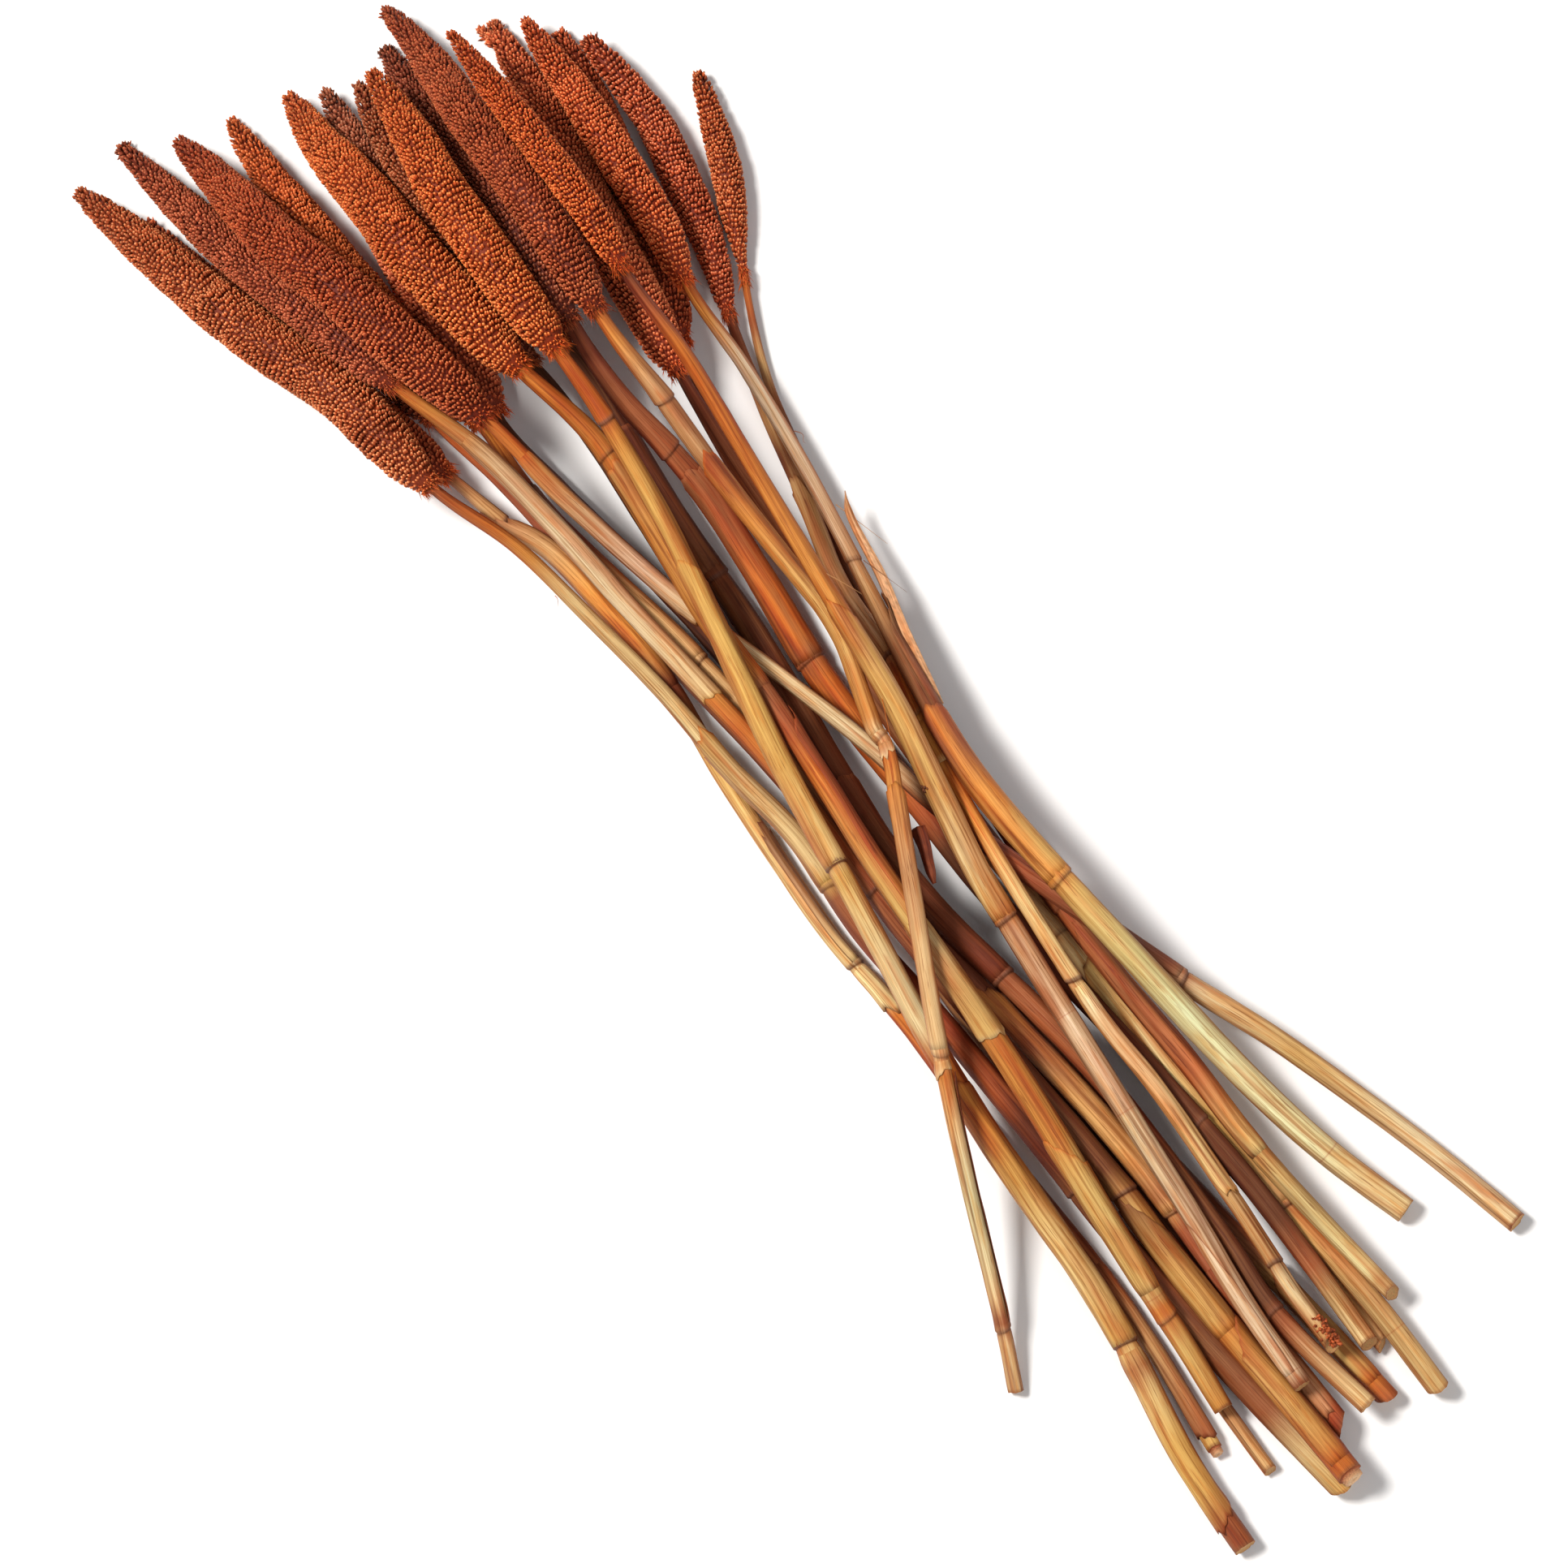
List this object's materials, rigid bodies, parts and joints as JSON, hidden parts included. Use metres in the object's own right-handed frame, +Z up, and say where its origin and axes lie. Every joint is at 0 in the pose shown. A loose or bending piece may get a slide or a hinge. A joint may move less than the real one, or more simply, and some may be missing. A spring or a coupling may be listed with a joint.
{
  "type": "bunch of dried millet stalks",
  "caption": "Loose bunch of cut dried millet stalks lying flat: dense cylindrical rust-coloured seed heads on long straw stems that cross, with torn leaf sheaths.",
  "frame": {"origin": "on the surface that the bunch lies on, under the centre of its bounding box", "axes": "+X along the bunch towards the cut ends of the stems, the seed heads being at -X; +Y across the bunch; +Z up from the surface"},
  "size_m": [0.7322, 0.2338, 0.0773],
  "materials": {
    "seed_head_rust": "matt, dyed dried seeds",
    "seed_head_orange": "matt, brightly dyed dried seeds",
    "seed_head_mauve": "matt, dull dyed dried seeds",
    "seed_head_umber": "matt, dark dyed dried seeds",
    "stem_straw": "satin, pale dried straw",
    "stem_gold": "satin, golden dried straw",
    "stem_tan": "satin, tan dried straw",
    "stem_copper": "satin, red-brown dyed straw",
    "stem_umber": "satin, dark brown dried straw",
    "dry_leaf": "matt, brown dried leaf"
  },
  "bodies": {
    "root": {"seed_head_01": "seed_head_umber", "stem_01": "stem_umber", "seed_head_02": "seed_head_umber", "stem_02": "stem_gold", "seed_head_03": "seed_head_mauve", "stem_03": "stem_tan", "seed_head_04": "seed_head_orange", "stem_04": "stem_copper", "seed_head_05": "seed_head_umber", "stem_05": "stem_umber", "seed_head_06": "seed_head_mauve", "stem_06": "stem_tan", "seed_head_07": "seed_head_mauve", "stem_07": "stem_tan", "seed_head_08": "seed_head_rust", "stem_08": "stem_straw", "seed_head_09": "seed_head_rust", "stem_09": "stem_umber", "seed_head_10": "seed_head_mauve", "stem_10": "stem_copper", "seed_head_11": "seed_head_mauve", "stem_11": "stem_straw", "seed_head_12": "seed_head_rust", "stem_12": "stem_copper", "seed_head_13": "seed_head_rust", "stem_13": "stem_tan", "seed_head_14": "seed_head_rust", "stem_14": "stem_gold", "seed_head_15": "seed_head_rust", "stem_15": "stem_gold", "seed_head_16": "seed_head_rust", "stem_16": "stem_gold", "seed_head_17": "seed_head_rust", "stem_17": "stem_straw", "seed_head_18": "seed_head_mauve", "stem_18": "stem_straw", "seed_head_19": "seed_head_rust", "stem_19": "stem_tan", "curled_leaf": "dry_leaf", "dead_leaf": "dry_leaf"}
  },
  "joints": []
}
